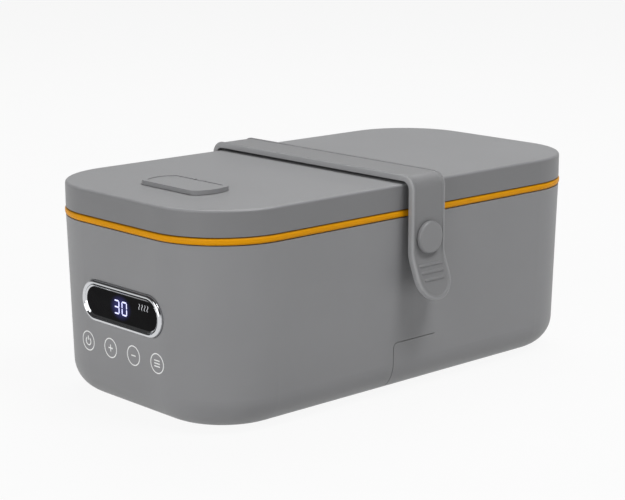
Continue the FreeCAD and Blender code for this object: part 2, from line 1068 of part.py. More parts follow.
def bowl(name, front, rear):
    """A drawn steel bowl hung by its rim on the tub's ledge."""
    rim = Outline(
        (front + rear) / 2,
        size(0),
        rear - front,
        tub_outline.width - 2 * d.bowl_gap,
        tub_outline.radius - d.bowl_gap,
    )
    mouth = inset(rim, d.bowl_rim)
    foot = inset(mouth, d.bowl_draft)
    bottom = z_pan + d.pan_steel + d.bowl_clearance
    outer = basin(f"{name}_outer", foot, bottom, mouth, z_ledge, d.bowl_radius)
    flange = slab(f"{name}_flange", rim, z_ledge, d.bowl_steel)
    inner = basin(
        f"{name}_inner",
        inset(foot, d.bowl_steel),
        bottom + d.bowl_steel,
        inset(mouth, d.bowl_steel),
        z_ledge + d.bowl_steel,
        d.bowl_radius - d.bowl_steel,
    )
    return cut(name, fuse(f"{name}_solid", outer, flange), inner)


def bowls():
    front = tub_front + d.bowl_gap
    rear = tub_rear - d.bowl_gap
    return [
        bowl("large_bowl", front, d.bowl_split - d.bowl_gap),
        bowl("small_bowl", d.bowl_split + d.bowl_gap, rear),
    ]


# Boards and display

def power_electronics():
    board = block("power_board", d.board_length, d.board_width, d.board_thickness, x=board_x, z=z_board)
    z_parts = z_board + d.board_thickness
    quarter_x = d.board_length / 4
    quarter_y = d.board_width / 4
    parts = group(
        "power_components",
        [
            block(
                "transformer",
                d.transformer_length,
                d.transformer_width,
                d.transformer_height,
                board_x - quarter_x,
                -quarter_y,
                z_parts,
            ),
            block(
                "relay",
                d.relay_length,
                d.relay_width,
                d.relay_height,
                board_x - quarter_x,
                quarter_y,
                z_parts,
            ),
            rod(
                "capacitor",
                d.capacitor_radius,
                d.capacitor_height,
                x=board_x + quarter_x,
                y=quarter_y,
                z=z_parts,
            ),
        ],
    )
    return [board, parts]


def display_pieces():
    front = -half_length - d.bezel_proud
    bezel = prism(
        "bezel_ring",
        "YZ_Plane",
        front,
        d.bezel_depth,
        draw_pill,
        d.display_y,
        z_display,
        d.bezel_length,
        d.bezel_height,
    )
    round_edges(bezel, d.bezel_edge, lambda edge: abs(edge.BoundBox.XMax - front.value) < 0.01)
    window_length = d.bezel_length - 2 * d.bezel_band
    window_height = d.bezel_height - 2 * d.bezel_band
    bore = prism(
        "bezel_bore",
        "YZ_Plane",
        front,
        d.bezel_depth + d.wall,
        draw_pill,
        d.display_y,
        z_display,
        window_length,
        window_height,
    )
    mouth = prism(
        "bezel_mouth",
        "YZ_Plane",
        front - d.bezel_inner_edge,
        2 * d.bezel_inner_edge,
        draw_pill,
        d.display_y,
        z_display,
        window_length + 2 * d.bezel_inner_edge,
        window_height + 2 * d.bezel_inner_edge,
    )
    throat = front + d.bezel_inner_edge
    slope_edges(mouth, d.bezel_inner_edge, lambda edge: abs(edge.BoundBox.XMin - throat.value) < 0.01)
    window = prism(
        "display_window",
        "YZ_Plane",
        front + d.window_recess,
        d.window_thickness,
        draw_pill,
        d.display_y,
        z_display,
        window_length - 2 * d.fit_gap,
        window_height - 2 * d.fit_gap,
    )
    board_height = d.panel_board_high - d.panel_board_low
    board = block(
        "display_board",
        d.board_thickness,
        d.panel_board_width,
        board_height,
        panel_x + d.board_thickness / 2,
        0,
        z_base + d.panel_board_low,
    )
    digits = block(
        "digit_display",
        d.digit_depth,
        d.digit_width,
        d.digit_height,
        panel_x - d.digit_depth / 2,
        d.display_y,
        z_display - d.digit_height / 2,
    )
    pad_start = d.bottom_inset + d.wall - half_length
    pads = []
    for index, step in enumerate((-1.5, -0.5, 0.5, 1.5)):
        pads.append(
            rod(
                f"touch_pad_{index}",
                d.pad_radius,
                panel_x - pad_start,
                "x",
                pad_start,
                step * d.key_pitch,
                z_base + d.key_height,
            )
        )
    return [cut("display_bezel", bezel, bore, mouth), window, board, digits, group("touch_pads", pads)]


# Lid, seal and vent

def vent_hole(name, bottom, depth):
    return [
        rod(
            f"{name}_{index}",
            d.vent_hole_radius,
            depth,
            x=vent_x,
            y=d.vent_y + step * d.vent_hole_pitch,
            z=bottom,
        )
        for index, step in enumerate((-1, 0, 1))
    ]


def vent_patch(grow):
    """The footprint of the seal pad under the cap."""
    width = d.vent_seal_width + 2 * grow
    length = d.vent_seal_length + 2 * grow
    return Outline(vent_x, d.vent_y, width, length, d.vent_seal_width / 4 + grow)


def lid_pieces():
    solid = slab("lid_block", rim_outline, z_lid, d.lid_side)
    round_edges(solid, d.lid_edge_radius, level(z_top))
    lug = fuse(
        "vent_lug",
        rod(
            "vent_lug_barrel",
            d.vent_thickness / 2,
            d.vent_lug,
            "y",
            vent_axis_x,
            d.vent_y - d.vent_lug / 2,
            z_vent_axis,
        ),
        block(
            "vent_lug_foot",
            d.vent_thickness,
            d.vent_lug,
            d.lid_wall / 2 + d.vent_gap + d.vent_thickness / 2,
            vent_axis_x,
            d.vent_y,
            z_top - d.lid_wall / 2,
        ),
    )
    hollow = slab("lid_hollow", inset(rim_outline, d.lid_wall), z_lid - d.lid_wall, d.lid_side)
    recess = slab(
        "vent_recess",
        vent_patch(d.vent_recess_gap),
        z_top - d.vent_seal_depth - d.vent_gap,
        d.vent_seal_depth + d.lid_wall,
    )
    pin_start = d.vent_y - d.vent_pin_length / 2
    pin_hole = rod(
        "lug_pin_hole",
        d.vent_pin_radius + d.pin_gap,
        d.vent_pin_length,
        "y",
        vent_axis_x,
        pin_start,
        z_vent_axis,
    )
    shell = cut(
        "lid_shell",
        fuse("lid_solid", solid, lug),
        hollow,
        recess,
        pin_hole,
        *vent_hole("lid_vent", z_top - 2 * d.lid_wall, 3 * d.lid_wall),
    )
    pin = rod(
        "vent_pin", d.vent_pin_radius, d.vent_pin_length, "y", vent_axis_x, pin_start, z_vent_axis
    )

    flange = slab("inner_flange", inset(rim_outline, d.lid_wall + d.fit_gap), z_lid, d.inner_plate)
    z_plug = z_lid - d.plug_depth
    plug = basin("inner_plug", plug_outline, z_plug, plug_outline, z_lid + d.inner_plate, d.plug_radius)
    tray = slab(
        "inner_tray",
        inset(plug_outline, d.inner_plate),
        z_plug + d.inner_plate,
        d.plug_depth + d.inner_plate,
    )
    chimney = slab(
        "chimney",
        vent_patch(d.chimney_wall),
        z_plug + d.inner_plate / 2,
        z_top - d.lid_wall - z_plug - d.inner_plate / 2,
    )
    dish = cut("inner_dish", fuse("inner_solid", flange, plug), tray)
    inner = cut(
        "lid_inner",
        fuse("inner_with_chimney", dish, chimney),
        *vent_hole("inner_vent", z_plug - d.inner_plate, d.lid_side + d.plug_depth + d.inner_plate),
    )

    bead = slab("gasket_bead", inset(rim_outline, -d.gasket_proud), z_seal, d.gasket_band)
    round_edges(bead, d.gasket_edge, level(z_seal, z_seal + d.gasket_band))
    ring = cut(
        "gasket_ring",
        bead,
        slab("gasket_bore", inset(rim_outline, d.gasket_bead), z_seal - d.lid_gap, 2 * d.gasket_band),
    )
    lip_low = z_seal + d.gasket_band - d.gasket_lip
    lip = cut(
        "gasket_web",
        slab("gasket_web_outer", inset(rim_outline, d.gasket_bead - d.gasket_edge), lip_low, d.gasket_lip),
        slab("gasket_web_bore", inset(plug_outline, -d.fit_gap), lip_low - d.gasket_lip, 3 * d.gasket_lip),
    )
    return [shell, pin, inner, fuse("lid_gasket", ring, lip)]


def draw_vent(sketch, inward):
    """Two straight sides joined by bowed ends, drawn in by an amount all round."""
    half = d.vent_width / 2 - inward
    end = d.vent_straight / 2 - inward
    bow = (half * half + d.vent_bulge * d.vent_bulge) / (2 * d.vent_bulge)
    centre = end + d.vent_bulge - bow
    left, right = vent_x - half, vent_x + half
    low, high = d.vent_y - end, d.vent_y + end
    steps = [
        (right, low, vent_x, d.vent_y - centre, "left"),
        (right, high),
        (left, high, vent_x, d.vent_y + centre, "left"),
        (left, low),
    ]
    draw_path(sketch, (left, low), steps)


def vent_pieces():
    plate = prism("vent_plate", "XY_Plane", z_vent, d.vent_thickness, draw_vent, size(0))
    round_edges(plate, d.vent_corner, upright)
    edge = d.vent_thickness / 2
    hinge_strip = block(
        "vent_hinge_strip",
        d.vent_thickness,
        d.vent_straight,
        3 * d.vent_thickness,
        vent_axis_x + edge,
        d.vent_y,
        z_vent - d.vent_thickness,
    )
    barrel = rod(
        "vent_barrel",
        edge,
        d.vent_straight,
        "y",
        vent_axis_x,
        d.vent_y - d.vent_straight / 2,
        z_vent_axis,
    )
    notch_depth = edge + d.vent_lug_gap
    notch = block(
        "vent_notch",
        2 * notch_depth,
        d.vent_lug + 2 * d.vent_lug_gap,
        3 * d.vent_thickness,
        vent_axis_x,
        d.vent_y,
        z_vent - d.vent_thickness,
    )
    dish = prism(
        "vent_dish_cut",
        "XY_Plane",
        z_vent + d.vent_thickness - d.vent_dish,
        d.wall,
        draw_vent,
        d.vent_rim,
    )
    round_edges(dish, d.vent_corner - d.vent_rim, upright)
    pin_hole = rod(
        "cap_pin_hole",
        d.vent_pin_radius + d.pin_gap,
        d.vent_pin_length + 2 * d.vent_lug_gap,
        "y",
        vent_axis_x,
        d.vent_y - d.vent_pin_length / 2 - d.vent_lug_gap,
        z_vent_axis,
    )
    rolled_edge = shared("vent_rolled_edge", barrel, plate)
    trimmed = cut("vent_trimmed", plate, hinge_strip)
    cap = cut("vent_cap", fuse("vent_solid", trimmed, rolled_edge), notch, dish, pin_hole)
    seal = slab("vent_seal", vent_patch(size(0)), z_top - d.vent_seal_depth, d.vent_seal_depth + d.vent_gap)
    return [cap, seal]


# Strap and the buttons that hold it

def knob_piece(name, facing):
    """A mushroom button on the wall: seat, neck through the strap, rounded head."""
    seat = strap_back - knob_wall - d.knob_seat
    neck = seat + d.strap_thickness - d.strap_sink + d.button_lift
    top = neck + d.knob_head
    shoulder = top - d.knob_edge
    rounded = d.knob_head_radius - d.knob_edge
    bore = d.knob_screw_radius + d.screw_gap
    depth = d.knob_screw_length - d.spigot_length
    steps = [
        (-d.spigot_length, d.spigot_radius),
        (size(0), d.spigot_radius),
        (size(0), d.knob_base_radius),
        (seat, d.knob_base_radius),
        (seat, d.knob_neck_radius),
        (neck, d.knob_neck_radius),
        (neck, d.knob_head_radius),
        (shoulder, d.knob_head_radius),
        (top, rounded, shoulder, rounded, "right"),
        (top, size(0)),
        (depth, size(0)),
        (depth, bore),
        (-d.spigot_length, bore),
    ]
    knob = turned(name, (-d.spigot_length, bore), steps)
    turn = FreeCAD.Rotation(FreeCAD.Vector(0, 0, 1), 180 if facing < 0 else 0)
    return place(knob, y=facing * (knob_wall + d.knob_seat), z=z_knob, rotation=turn)


def knob_screw(name, facing):
    head = -d.spigot_length - d.fit_gap - (d.wall - d.spigot_length) - d.knob_seat
    back = head - d.knob_screw_head
    tip = d.knob_screw_length - d.spigot_length - d.fit_gap
    steps = [
        (back, d.knob_screw_head_radius),
        (head, d.knob_screw_head_radius),
        (head, d.knob_screw_radius),
        (tip, d.knob_screw_radius),
        (tip, size(0)),
        (back, size(0)),
    ]
    screw = turned(name, (back, size(0)), steps)
    turn = FreeCAD.Rotation(FreeCAD.Vector(0, 0, 1), 180 if facing < 0 else 0)
    return place(screw, y=facing * (knob_wall + d.knob_seat), z=z_knob, rotation=turn)


def tongue(name, tip, half):
    """A plate across Y with a half-round lower end."""
    reach = d.box_width
    steps = [
        (half, tip + half, size(0), tip + half, "left"),
        (half, z_top),
        (-half, z_top),
        (-half, tip + half),
    ]
    return prism(name, "XZ_Plane", -reach, 2 * reach, draw_path, (-half, tip + half), steps)


def band_layer(name, low, high, half):
    """The strap over the lid, between two distances from the centres of its bends."""
    y, z = strap_bend_y, strap_bend_z
    steps = [
        (y, z + high, y, z, "left"),
        (-y, z + high),
        (-y - high, z, -y, z, "left"),
        (-y - low, z),
        (-y, z + low, -y, z, "right"),
        (y, z + low),
        (y + low, z, y, z, "right"),
        (y + high, z),
    ]
    return prism(name, "YZ_Plane", -half, 2 * half, draw_path, (y + high, z), steps)


def tail_layer(name, low, high, half):
    """The buttoned end below the bend, straight down and then turned out to its tip."""
    top = strap_bend_z
    near, far = -strap_bend_y - low, -strap_bend_y - high
    outer = d.flare_radius + strap_outer - high
    inner = d.flare_radius + strap_outer - low
    steps = [
        (far, flare_z),
        (flare_y + flare_across * outer, flare_z - flare_down * outer, flare_y, flare_z, "right"),
        (flare_y + flare_across * outer - flare_out, flare_z - flare_down * outer - d.flare_drop),
        (flare_y + flare_across * inner - flare_out, flare_z - flare_down * inner - d.flare_drop),
        (flare_y + flare_across * inner, flare_z - flare_down * inner),
        (near, flare_z, flare_y, flare_z, "left"),
        (near, top),
        (far, top),
    ]
    return prism(name, "YZ_Plane", -half, 2 * half, draw_path, (far, top), steps)


def strap_pieces():
    half = d.strap_width / 2
    panel_half = half - d.strap_rim
    panel = strap_outer - d.strap_sink
    above = strap_outer + d.strap_thickness
    band = band_layer("band_blank", d.strap_bend, strap_outer, half)
    sides = (-half.value, half.value)
    round_edges(
        band,
        d.strap_edge,
        lambda edge: edge.BoundBox.XLength < 0.01 and round(edge.BoundBox.XMin, 6) in sides
        and edge.BoundBox.DiagonalLength > 2 * d.strap_thickness.value,
    )
    band = cut("strap_band", band, band_layer("band_panel", panel, above, panel_half))

    button_radius = d.knob_neck_radius + d.button_gap
    buttonhole = rod(
        "front_buttonhole",
        button_radius,
        d.box_width,
        "y",
        y=-strap_back - d.box_width,
        z=z_knob,
    )
    grips = []
    for index in range(3):
        sink = d.grip_below_flare + index * d.grip_pitch
        turned_out = flare_y + flare_across * (d.flare_radius + d.strap_sink)
        surface = turned_out - (sink - flare_down * (d.flare_radius + d.strap_sink)) * flare_slope
        width = d.grip_width - index * d.grip_step
        grips.append(
            rod(f"grip_{index}", d.grip_radius, width, "x", -width / 2, surface, flare_z - sink)
        )
    blank = shared(
        "tail_shape",
        tail_layer("tail_strip", d.strap_bend, strap_outer, half),
        tongue("tail_tongue", tip_z, half),
    )
    hollow = shared(
        "tail_hollow",
        tail_layer("tail_panel", panel, above, panel_half),
        tongue("panel_tongue", tip_z + d.strap_rim, panel_half),
    )
    tail = cut(
        "strap_front_tail",
        fuse("tail_solid", cut("tail_sunk", blank, hollow), *grips),
        buttonhole,
    )

    rear = doc.addObject("Part::Mirroring", "strap_rear_end")
    rear.Source = tail
    rear.Normal = FreeCAD.Vector(0, 1, 0)
    return [band, tail, rear]


# Wiring inside the housing

def route(points, bend):
    """Straight runs joined by tangent arcs."""
    spots = [FreeCAD.Vector(*(size(value).value for value in point)) for point in points]
    edges = []
    here = spots[0]
    for before, corner, after in zip(spots, spots[1:], spots[2:]):
        inward = (corner - before).normalize()
        outward = (after - corner).normalize()
        setback = bend * math.tan(inward.getAngle(outward) / 2)
        first = corner - inward * setback
        last = corner + outward * setback
        towards = (outward - inward).normalize()
        centre_gap = math.hypot(bend, setback)
        middle = corner + towards * (centre_gap - bend)
        edges.append(Part.LineSegment(here, first).toShape())
        edges.append(Part.Arc(first, middle, last).toShape())
        here = last
    edges.append(Part.LineSegment(here, spots[-1]).toShape())
    return Part.Wire(edges)


def lead(points):
    path = route(points, d.lead_bend.value)
    start = path.Edges[0]
    first = start.FirstParameter
    circle = Part.Circle(start.valueAt(first), start.tangentAt(first), d.lead_radius.value)
    return path.makePipeShell([Part.Wire(circle.toShape())], True, False)


def leads(name, routes):
    feature = doc.addObject("Part::Feature", name)
    feature.Shape = Part.makeCompound([lead(points) for points in routes])
    return feature


def wiring():
    socket_back = inlet_back + d.inlet_body
    z_parts = z_board + d.board_thickness
    board_edge = board_x + d.board_length / 2
    mains = []
    heating = []
    opening = heater_opening()
    heater_front = opening.x - opening.length / 2 + d.heater_end_gap + d.element_end_margin
    z_terminal = z_pan - d.heater_plate_thickness - d.element_drop
    for side in (-1, 1):
        x = inlet_x + side * d.inlet_pin_pitch / 2
        landing_y = -d.board_width / 4 + side * d.inlet_pin_pitch / 2
        land_x = board_edge - d.standoff_inset
        mains.append(
            [
                (x, socket_back, z_inlet),
                (x, landing_y, z_inlet),
                (land_x, landing_y, z_inlet),
                (land_x, landing_y, z_parts),
            ]
        )
        terminal_y = side * d.inlet_pin_pitch / 2 - d.lead_shift
        terminal_x = heater_front + d.element_bar / 2
        leave_x = board_x + d.lead_landing
        z_run = (z_parts + z_terminal) / 2
        heating.append(
            [
                (leave_x, terminal_y, z_parts),
                (leave_x, terminal_y, z_run),
                (terminal_x, terminal_y, z_run),
                (terminal_x, terminal_y, z_terminal),
            ]
        )
    fold_x = panel_x + d.board_thickness
    t = d.ribbon_thickness
    bend = d.ribbon_bend
    low = z_parts
    high = z_base + d.panel_board_low + d.boss_inset
    end_x = board_x - d.board_length / 2 + d.ribbon_landing
    steps = [
        (fold_x + t, low + bend + t),
        (fold_x + t + bend, low + t, fold_x + t + bend, low + bend + t, "left"),
        (end_x, low + t),
        (end_x, low),
        (fold_x + t + bend, low),
        (fold_x, low + bend + t, fold_x + t + bend, low + bend + t, "right"),
        (fold_x, high),
    ]
    ribbon = prism(
        "display_lead",
        "XZ_Plane",
        -d.ribbon_width / 2,
        d.ribbon_width,
        draw_path,
        (fold_x + t, high),
        [*steps, (fold_x + t, high)],
    )
    return [leads("mains_leads", mains), leads("heater_leads", heating), ribbon]


# The whole box

def build():
    pieces, inside = housing_and_flap()
    pieces += inlet(inside)
    pieces += bottom_pieces()
    pieces.append(liner())
    pieces += pan_and_heater()
    pieces += bowls()
    pieces += power_electronics()
    pieces += display_pieces()
    pieces += lid_pieces()
    pieces += vent_pieces()
    pieces += [knob_piece("front_knob", -1), knob_piece("rear_knob", 1)]
    screws = [knob_screw("front_knob_screw", -1), knob_screw("rear_knob_screw", 1)]
    pieces.append(group("knob_screws", screws))
    pieces += strap_pieces()
    pieces += wiring()
    doc.recompute()
    return pieces


def check(pieces):
    for thing in doc.Objects:
        if "Invalid" in thing.State or "Error" in thing.State:
            raise RuntimeError(f"{thing.Label} failed: {thing.State}")
    for piece in pieces:
        if piece.Shape.isNull() or not piece.Shape.isValid() or not piece.Shape.Solids:
            raise RuntimeError(f"{piece.Label} has no valid solid")


def write(pieces):
    os.makedirs("parts", exist_ok=True)
    for piece in pieces:
        piece.Shape.exportStep(os.path.join("parts", f"{piece.Label}.step"))
        print(f"{piece.Label}: {len(piece.Shape.Solids)} solids, {piece.Shape.Volume:.1f} mm3")


parts = build()
check(parts)
write(parts)
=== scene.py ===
import math

import bmesh
import bpy
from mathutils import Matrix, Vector


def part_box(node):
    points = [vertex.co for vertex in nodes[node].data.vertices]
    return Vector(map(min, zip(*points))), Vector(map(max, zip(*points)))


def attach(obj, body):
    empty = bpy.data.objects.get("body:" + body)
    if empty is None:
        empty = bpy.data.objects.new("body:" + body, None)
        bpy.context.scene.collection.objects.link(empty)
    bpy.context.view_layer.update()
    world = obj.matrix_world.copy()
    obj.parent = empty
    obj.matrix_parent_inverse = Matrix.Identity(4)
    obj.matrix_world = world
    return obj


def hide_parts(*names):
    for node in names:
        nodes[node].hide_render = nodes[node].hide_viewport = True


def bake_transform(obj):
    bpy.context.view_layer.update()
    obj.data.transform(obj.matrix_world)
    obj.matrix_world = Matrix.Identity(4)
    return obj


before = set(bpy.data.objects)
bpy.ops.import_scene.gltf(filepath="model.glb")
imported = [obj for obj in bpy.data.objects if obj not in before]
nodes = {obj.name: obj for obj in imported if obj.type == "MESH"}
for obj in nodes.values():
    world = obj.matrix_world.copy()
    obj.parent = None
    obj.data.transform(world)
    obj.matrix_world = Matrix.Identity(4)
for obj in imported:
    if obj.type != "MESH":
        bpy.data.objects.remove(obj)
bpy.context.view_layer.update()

MM = 0.001


# Sizes read from the frame, in millimetres

def corners(node):
    low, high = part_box(node)
    return low / MM, high / MM


def middle(node):
    low, high = corners(node)
    return (low + high) / 2


housing_low, housing_high = corners("outer_housing")
band_low, band_high = corners("strap_band")
tail_low, tail_high = corners("strap_front_tail")
window_low, window_high = corners("display_window")
display = middle("display_window")


# Materials

NOISE_LOW, NOISE_HIGH = 0.3, 0.7


class Finish:
    """A principled material whose colour, roughness and relief come from node textures."""

    def __init__(self, name, **fixed):
        self.material = bpy.data.materials.new(name)
        self.material.use_nodes = True
        self.tree = self.material.node_tree
        self.shader = self.tree.nodes["Principled BSDF"]
        for key, value in fixed.items():
            self.shader.inputs[key.replace("_", " ")].default_value = value
        self.place = self.add("ShaderNodeTexCoord").outputs["Object"]

    def add(self, kind, **settings):
        node = self.tree.nodes.new(kind)
        for key, value in settings.items():
            setattr(node, key, value)
        return node

    def link(self, start, end):
        self.tree.links.new(start, end)

    def noise(self, scale, detail=2.0, stretch=(1, 1, 1), lumps=0.5):
        mapping = self.add("ShaderNodeMapping")
        mapping.inputs["Scale"].default_value = stretch
        self.link(self.place, mapping.inputs["Vector"])
        node = self.add("ShaderNodeTexNoise")
        node.inputs["Scale"].default_value = scale
        node.inputs["Detail"].default_value = detail
        node.inputs["Roughness"].default_value = lumps
        self.link(mapping.outputs["Vector"], node.inputs["Vector"])
        return node.outputs["Fac"]

    def ramp(self, source, low, high):
        node = self.add("ShaderNodeValToRGB")
        first, last = node.color_ramp.elements
        first.position, last.position = NOISE_LOW, NOISE_HIGH
        first.color, last.color = (*low, 1), (*high, 1)
        self.link(source, node.inputs["Fac"])
        return node.outputs["Color"]

    def spread(self, source, low, high):
        node = self.add("ShaderNodeMapRange")
        node.inputs["From Min"].default_value = NOISE_LOW
        node.inputs["From Max"].default_value = NOISE_HIGH
        node.inputs["To Min"].default_value = low
        node.inputs["To Max"].default_value = high
        self.link(source, node.inputs["Value"])
        return node.outputs["Result"]

    def climb(self, low, high):
        """Goes smoothly from 0 to 1 between two heights in millimetres."""
        parts = self.add("ShaderNodeSeparateXYZ")
        self.link(self.place, parts.inputs["Vector"])
        node = self.add("ShaderNodeMapRange", interpolation_type="SMOOTHSTEP")
        node.inputs["From Min"].default_value = low * MM
        node.inputs["From Max"].default_value = high * MM
        self.link(parts.outputs["Z"], node.inputs["Value"])
        return node.outputs["Result"]

    def colour(self, source, low, high):
        self.link(self.ramp(source, low, high), self.shader.inputs["Base Color"])
        return self

    def rough(self, source, low, high):
        self.link(self.spread(source, low, high), self.shader.inputs["Roughness"])
        return self

    def relief(self, source, depth, strength=1.0):
        node = self.add("ShaderNodeBump")
        node.inputs["Distance"].default_value = depth
        node.inputs["Strength"].default_value = strength
        self.link(source, node.inputs["Height"])
        self.link(node.outputs["Normal"], self.shader.inputs["Normal"])
        return self

    def drift(self):
        """Slow patches, for colour that is never quite even."""
        return self.noise(18, 3)

    def satin(self, rough, grain, depth):
        """Fine grain in the gloss and in the relief."""
        fine = self.noise(grain)
        return self.rough(fine, *rough).relief(fine, depth).material


def shade(colour, amount):
    """A colour made darker or lighter."""
    return tuple(max(0.0, min(1.0, c * amount)) for c in colour)


SATIN, GRAIN, GRAIN_DEPTH = (0.40, 0.48), 3500, 0.00003


def moulded(name, colour, rough=SATIN, grain=GRAIN, depth=GRAIN_DEPTH, drift=0.03):
    """Moulded plastic or silicone: slow colour drift, fine satin grain."""
    finish = Finish(name)
    finish.colour(finish.drift(), shade(colour, 1 - drift), shade(colour, 1 + drift))
    return finish.satin(rough, grain, depth)


def metal(name, colour, rough, stretch=(1, 1, 1), grain=900, depth=0.00001, drift=0.05):
    """Bare or plated metal, with marks drawn out along the least stretched axis."""
    finish = Finish(name, Metallic=1.0)
    marks = finish.noise(grain, 4, stretch, 0.6)
    finish.colour(marks, shade(colour, 1 - drift), shade(colour, 1 + drift))
    return finish.rough(marks, *rough).relief(marks, depth, 0.5).material


SHELL = (0.255, 0.256, 0.263)
# The first number paints the lid's skirt darker than its top: painted shade.
SKIRT_PAINTED_SHADE, LID_EDGE, VENT_GAP = 0.78, 1.2, 0.15
# The second number paints the strap's sides and rims paler: a painted highlight.
RUBBER, HIGHLIGHT_TONE = (0.214, 0.215, 0.220), 1.6
# The last two numbers paint the seal darker just under the lid's skirt: painted shade.
AMBER, SEAL_SHADE_TONE, SEAL_SHADE_DEPTH = (0.77, 0.325, 0.002), 0.3, 1.0
shell = moulded("satin_grey_plastic", SHELL)
knob_plastic = moulded("button_grey_plastic", (0.238, 0.239, 0.245), (0.36, 0.44))
pale_rubber = moulded("white_silicone", (0.72, 0.72, 0.70), (0.45, 0.55))
liner_plastic = moulded("pale_inner_plastic", (0.62, 0.62, 0.60), (0.34, 0.42))
cover_plastic = moulded("cover_grey_plastic", (0.20, 0.20, 0.206), (0.50, 0.62), 2200, 0.00008)
black_plastic = moulded("black_plastic", (0.018, 0.018, 0.020), (0.38, 0.50))
foot_rubber = moulded("foot_rubber", (0.015, 0.015, 0.016), (0.70, 0.85), 2600, 0.00006)
wire_cover = moulded("wire_cover", (0.55, 0.52, 0.48), (0.40, 0.50))
steel = metal("satin_steel", (0.72, 0.72, 0.73), (0.30, 0.38), (1, 24, 24), 60, 0.000003, 0.03)
screw_steel = metal("plated_steel", (0.55, 0.56, 0.58), (0.25, 0.38))
aluminium = metal("cast_aluminium", (0.62, 0.62, 0.63), (0.40, 0.55), grain=700, depth=0.00006)
brass = metal("contact_brass", (0.62, 0.45, 0.20), (0.22, 0.34), (30, 1, 30), 80)
chrome = metal("polished_chrome", (0.64, 0.65, 0.67), (0.05, 0.09), grain=300, depth=0.000002, drift=0.02)


def circuit_board():
    """Green board with a faint pattern of tracks."""
    finish = Finish("green_board", Roughness=0.32)
    tracks = finish.add("ShaderNodeTexBrick")
    tracks.inputs["Scale"].default_value = 260
    tracks.inputs["Mortar Size"].default_value = 0.03
    tracks.inputs["Color1"].default_value = (0.010, 0.085, 0.035, 1)
    tracks.inputs["Color2"].default_value = (0.012, 0.100, 0.040, 1)
    tracks.inputs["Mortar"].default_value = (0.030, 0.170, 0.070, 1)
    finish.link(finish.place, tracks.inputs["Vector"])
    finish.link(tracks.outputs["Color"], finish.shader.inputs["Base Color"])
    finish.relief(tracks.outputs["Fac"], 0.00004)
    return finish.material


board_green = circuit_board()


def two_toned(finish, share, first, second, rough, grain, depth, drift=0.03):
    """Moulded plastic or silicone that goes from one colour to another by a share."""
    slow = finish.drift()
    blend = finish.add("ShaderNodeMix", data_type="RGBA")
    finish.link(share, blend.inputs["Factor"])
    for socket, colour in (("A", first), ("B", second)):
        drifting = finish.ramp(slow, shade(colour, 1 - drift), shade(colour, 1 + drift))
        finish.link(drifting, next(i for i in blend.inputs if i.name == socket and i.type == "RGBA"))
    result = next(o for o in blend.outputs if o.type == "RGBA")
    finish.link(result, finish.shader.inputs["Base Color"])
    return finish.satin(rough, grain, depth)


def lid_plastic():
    """The housing's plastic, with painted shade: the lid's skirt is painted darker than its top."""
    finish = Finish("lid_grey_plastic")
    top = corners("vent_cap")[0].z - VENT_GAP
    share = finish.climb(top - LID_EDGE, top - LID_EDGE / 4)
    return two_toned(finish, share, shade(SHELL, SKIRT_PAINTED_SHADE), SHELL, SATIN, GRAIN, GRAIN_DEPTH)


def strap_silicone():
    """Grey silicone with a painted highlight, paler along its sides and rims where each strap mesh marks
    it.
    """
    finish = Finish("grey_silicone")
    highlight_share = finish.add("ShaderNodeAttribute", attribute_name="rim_highlight").outputs["Fac"]
    return two_toned(finish, highlight_share, RUBBER, shade(RUBBER, HIGHLIGHT_TONE), (0.46, 0.56), 5200, 0.00002)


def seal_silicone():
    """Amber silicone with painted shade: darker just under the lid's skirt, which shades it."""
    finish = Finish("amber_silicone", Specular_IOR_Level=0.1)
    skirt = corners("lid_shell")[0].z
    painted_shade = finish.climb(skirt - SEAL_SHADE_DEPTH, skirt - SEAL_SHADE_DEPTH / 4)
    return two_toned(finish, painted_shade, AMBER, shade(AMBER, SEAL_SHADE_TONE), (0.40, 0.50), 4200, 0.00002, 0.04)


lid_grey = lid_plastic()
strap_rubber = strap_silicone()
amber = seal_silicone()

DIGIT_SHIFT_Y, DIGIT_SHIFT_Z = 0.55, 0.1
DIGIT_Y, DIGIT_Z = display.y + DIGIT_SHIFT_Y, display.z + DIGIT_SHIFT_Z
GLOW = (0.10, 0.10, 0.42, 1)
GLOW_WIDE, GLOW_TALL, GLOW_CORE, GLOW_LEVEL = 8.2, 6.2, 0.35, 0.26


def window_glass():
    """Black gloss window with a faint glow round the lit digits."""
    finish = Finish("black_window", Specular_IOR_Level=0.03)
    haze = finish.noise(240, 3)
    finish.colour(haze, (0.002, 0.002, 0.0025), (0.004, 0.004, 0.0045))
    finish.rough(haze, 0.07, 0.12)
    offset = finish.add("ShaderNodeVectorMath", operation="SUBTRACT")
    offset.inputs[1].default_value = (0, DIGIT_Y * MM, DIGIT_Z * MM)
    finish.link(finish.place, offset.inputs[0])
    flat = finish.add("ShaderNodeVectorMath", operation="MULTIPLY")
    flat.inputs[1].default_value = (0, 1 / (GLOW_WIDE * MM), 1 / (GLOW_TALL * MM))
    finish.link(offset.outputs["Vector"], flat.inputs[0])
    reach = finish.add("ShaderNodeVectorMath", operation="LENGTH")
    finish.link(flat.outputs["Vector"], reach.inputs[0])
    fade = finish.add("ShaderNodeMapRange", interpolation_type="SMOOTHSTEP")
    fade.inputs["From Min"].default_value = GLOW_CORE
    fade.inputs["From Max"].default_value = 1.0
    fade.inputs["To Min"].default_value = GLOW_LEVEL
    fade.inputs["To Max"].default_value = 0.0
    finish.link(reach.outputs["Value"], fade.inputs["Value"])
    finish.shader.inputs["Emission Color"].default_value = GLOW
    finish.link(fade.outputs["Result"], finish.shader.inputs["Emission Strength"])
    return finish.material


window_black = window_glass()


